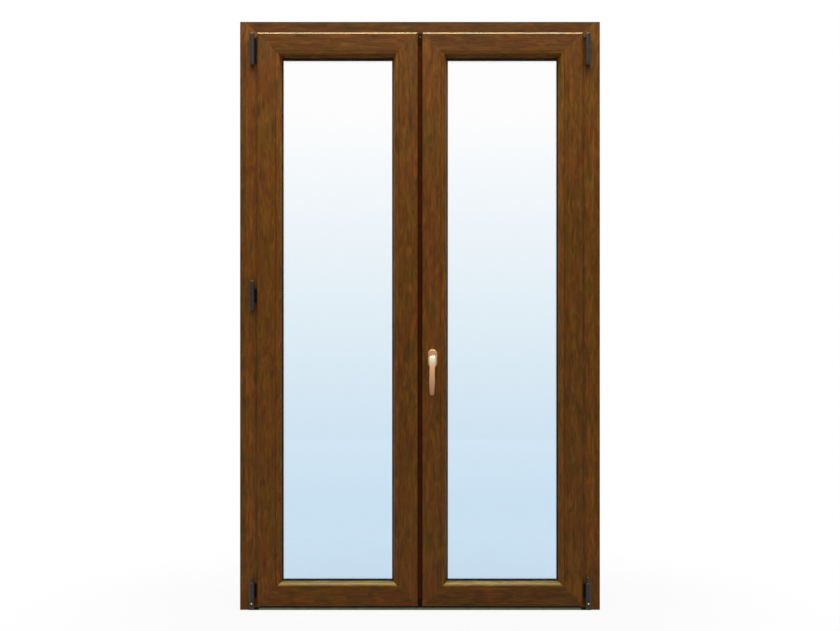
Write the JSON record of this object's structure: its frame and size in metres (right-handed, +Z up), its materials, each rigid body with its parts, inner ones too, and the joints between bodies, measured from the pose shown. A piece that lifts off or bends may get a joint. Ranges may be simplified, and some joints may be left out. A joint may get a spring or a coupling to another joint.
{
  "type": "french doors",
  "caption": "Glazed double-leaf balcony door in walnut-foiled PVC with its frame, low threshold, tilt-and-turn right leaf, passive left leaf and lever handle.",
  "frame": {"origin": "on the floor under the threshold, at mid width and mid depth of the frame", "axes": "+X to the right seen from the room, +Y outdoors, +Z up"},
  "size_m": [1.285, 0.1524, 2.1],
  "materials": {
    "walnut_foil": "wood-grain foil on PVC",
    "dark_core": "dark brown PVC",
    "black_plastic": "moulded black",
    "seal": "black EPDM",
    "glass": "clear float",
    "spacer": "mill finish",
    "zinc_steel": "zinc plated",
    "sill_aluminium": "anodised",
    "hinge_metal": "dark bronze coat",
    "handle_bronze": "bronze anodised"
  },
  "bodies": {
    "root": {"frame_head": "walnut_foil", "frame_jamb_left": "walnut_foil", "frame_jamb_right": "walnut_foil", "jamb_extensions": "walnut_foil", "frame_reinforcement": "zinc_steel", "frame_gasket": "seal", "threshold_rail": "sill_aluminium", "threshold_sill": "sill_aluminium", "thermal_break": "black_plastic", "threshold_end_blocks": "black_plastic", "hinge_top_left_lug": "hinge_metal", "stay_bearing": "hinge_metal", "hinge_middle_left_lug": "hinge_metal", "hinge_bottom_left_cup": "hinge_metal", "hinge_bottom_right_cup": "hinge_metal", "hinge_pins": "zinc_steel", "head_keeps": "zinc_steel", "threshold_keeps": "zinc_steel"},
    "left_leaf": {"left_lock_stile": "walnut_foil", "left_hinge_stile": "walnut_foil", "left_bottom_rail": "walnut_foil", "left_top_rail": "walnut_foil", "left_glazing_beads": "walnut_foil", "left_panes": "glass", "left_spacer": "spacer", "left_glazing_gaskets": "seal", "left_leaf_gasket": "seal", "left_reinforcement": "zinc_steel", "meeting_profile": "dark_core", "meeting_end_caps": "black_plastic", "meeting_keeps": "zinc_steel", "hinge_top_left_sleeve": "hinge_metal", "hinge_middle_left_sleeve": "hinge_metal", "hinge_bottom_left_sleeve": "hinge_metal"},
    "flush_bolt_top": {"flush_bolt_top": "zinc_steel"},
    "flush_bolt_bottom": {"flush_bolt_bottom": "zinc_steel"},
    "right_pivot": {"pivot_bush": "black_plastic"},
    "right_leaf": {"right_lock_stile": "walnut_foil", "right_hinge_stile": "walnut_foil", "right_bottom_rail": "walnut_foil", "right_top_rail": "walnut_foil", "right_glazing_beads": "walnut_foil", "right_panes": "glass", "right_spacer": "spacer", "right_glazing_gaskets": "seal", "right_leaf_gasket": "seal", "right_reinforcement": "zinc_steel", "hinge_bottom_right_sleeve": "hinge_metal", "hinge_ball_pin": "zinc_steel", "stay_guide": "zinc_steel", "lock_faceplates": "zinc_steel", "lock_case": "zinc_steel", "handle_rosette": "handle_bronze"},
    "stay_arm": {"stay_arm": "hinge_metal"},
    "handle": {"handle_lever": "handle_bronze", "handle_spindle": "zinc_steel", "lock_pinion": "zinc_steel"},
    "lock_rod_stile": {"lock_rod_stile": "zinc_steel"},
    "lock_rod_top": {"lock_rod_top": "zinc_steel"},
    "lock_rod_bottom": {"lock_rod_bottom": "zinc_steel"}
  },
  "joints": [
    {"name": "right_turn", "type": "hinge", "parent": "root", "child": "right_pivot", "pos_m": [0.5975, -0.055, 0.034], "axis": [0, 0, 1], "range_deg": [0, 105]},
    {"name": "right_tilt", "type": "hinge", "parent": "right_pivot", "child": "right_leaf", "pos_m": [0.5975, -0.055, 0.034], "axis": [1, 0, 0], "range_deg": [0, 4]},
    {"name": "stay_swing", "type": "hinge", "parent": "right_pivot", "child": "stay_arm", "pos_m": [0.5975, -0.055, 2.0425], "axis": [0, 0, 1], "range_deg": [0, 23.2]},
    {"name": "handle_turn", "type": "hinge", "parent": "right_leaf", "child": "handle", "pos_m": [0.04481, -0.0255, 0.898], "axis": [0, -1, 0], "range_deg": [0, 180]},
    {"name": "stile_rod_slide", "type": "slide", "parent": "right_leaf", "child": "lock_rod_stile", "axis": [0, 0, -1], "range_m": [0, 0.03601]},
    {"name": "top_rod_slide", "type": "slide", "parent": "right_leaf", "child": "lock_rod_top", "axis": [-1, 0, 0], "range_m": [0, 0.03601]},
    {"name": "bottom_rod_slide", "type": "slide", "parent": "right_leaf", "child": "lock_rod_bottom", "axis": [1, 0, 0], "range_m": [0, 0.03601]},
    {"name": "left_turn", "type": "hinge", "parent": "root", "child": "left_leaf", "pos_m": [-0.5975, -0.055, 0.034], "axis": [0, 0, -1], "range_deg": [0, 90.01]},
    {"name": "flush_bolt_top", "type": "slide", "parent": "left_leaf", "child": "flush_bolt_top", "axis": [0, 0, 1], "range_m": [0, 0.02]},
    {"name": "flush_bolt_bottom", "type": "slide", "parent": "left_leaf", "child": "flush_bolt_bottom", "axis": [0, 0, -1], "range_m": [0, 0.02]}
  ],
  "couplings": [
    {"joint": "stay_swing", "follows": "right_tilt", "ratio": 5.78},
    {"joint": "left_turn", "follows": "right_turn", "ratio": 0.85714},
    {"joint": "stile_rod_slide", "follows": "handle_turn", "m_per_rad": 0.011459},
    {"joint": "top_rod_slide", "follows": "handle_turn", "m_per_rad": 0.011459},
    {"joint": "bottom_rod_slide", "follows": "handle_turn", "m_per_rad": 0.011459}
  ]
}
